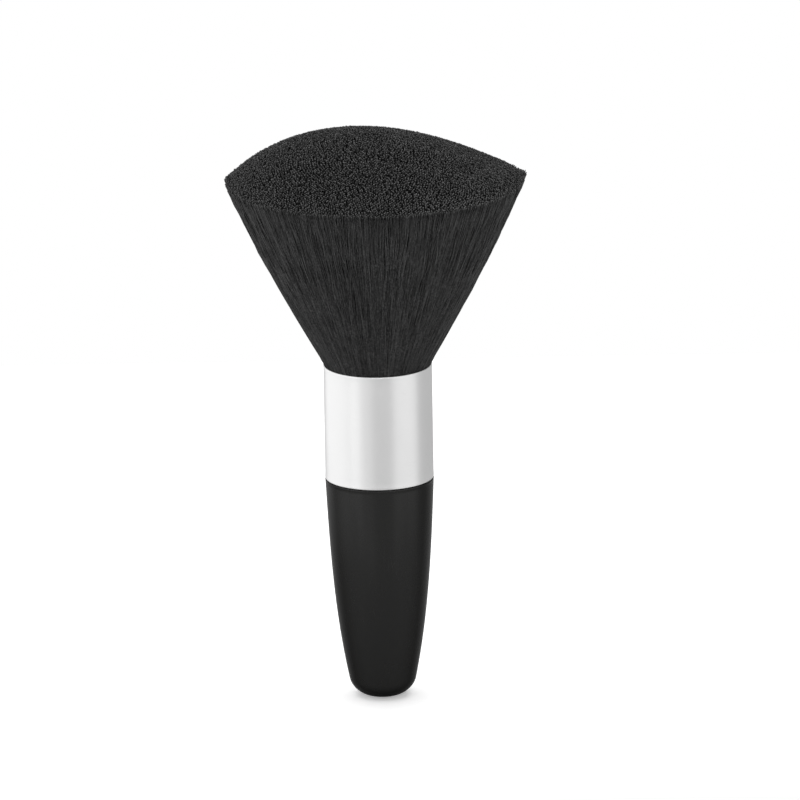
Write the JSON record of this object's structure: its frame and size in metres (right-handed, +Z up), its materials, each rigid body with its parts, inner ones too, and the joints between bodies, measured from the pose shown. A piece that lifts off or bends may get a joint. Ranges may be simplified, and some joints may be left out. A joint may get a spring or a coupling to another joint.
{
  "type": "neck duster brush",
  "caption": "Barber's neck duster: a tapered black handle, a plain silver ferrule and a flared, domed tuft of soft black bristles that bends and springs back.",
  "frame": {"origin": "middle of the small flat at the handle's end", "axes": "+Z runs up the brush's axis from the handle's end to the cut tips of the tuft; the brush is round, so +X and +Y are free, and the tuft's two bending axes lie along them"},
  "size_m": [0.0736, 0.0738, 0.145],
  "materials": {
    "handle_plastic": "satin",
    "ferrule_metal": "satin",
    "bristle": "matte",
    "resin": "satin",
    "adhesive": "satin",
    "thread": "matte"
  },
  "bodies": {
    "grip": {"handle_shell": "handle_plastic", "spigot_adhesive": "adhesive", "ferrule": "ferrule_metal", "resin_plug": "resin", "binding_thread": "thread", "bristle_root": "bristle"},
    "tuft_belly": {"bristle_belly": "bristle"},
    "tuft_crown": {"crown_lock_centre": "bristle", "crown_lock_inner_1": "bristle", "crown_lock_inner_2": "bristle", "crown_lock_inner_3": "bristle", "crown_lock_inner_4": "bristle", "crown_lock_inner_5": "bristle", "crown_lock_outer_1": "bristle", "crown_lock_outer_2": "bristle", "crown_lock_outer_3": "bristle", "crown_lock_outer_4": "bristle", "crown_lock_outer_5": "bristle", "crown_lock_outer_6": "bristle", "crown_lock_outer_7": "bristle", "crown_lock_outer_8": "bristle", "crown_lock_outer_9": "bristle", "crown_lock_outer_10": "bristle"}
  },
  "joints": [
    {"name": "tuft_bend_front_back", "type": "hinge", "parent": "grip", "child": "tuft_belly", "pos_m": [0, 0, 0.0859], "axis": [1, 0, 0], "range_deg": [-20, 20], "stiffness_Nm_per_rad": 0.2},
    {"name": "tuft_bend_side", "type": "hinge", "parent": "tuft_belly", "child": "tuft_crown", "pos_m": [0, 0, 0.0859], "axis": [0, 1, 0], "range_deg": [-20, 20], "stiffness_Nm_per_rad": 0.2}
  ]
}
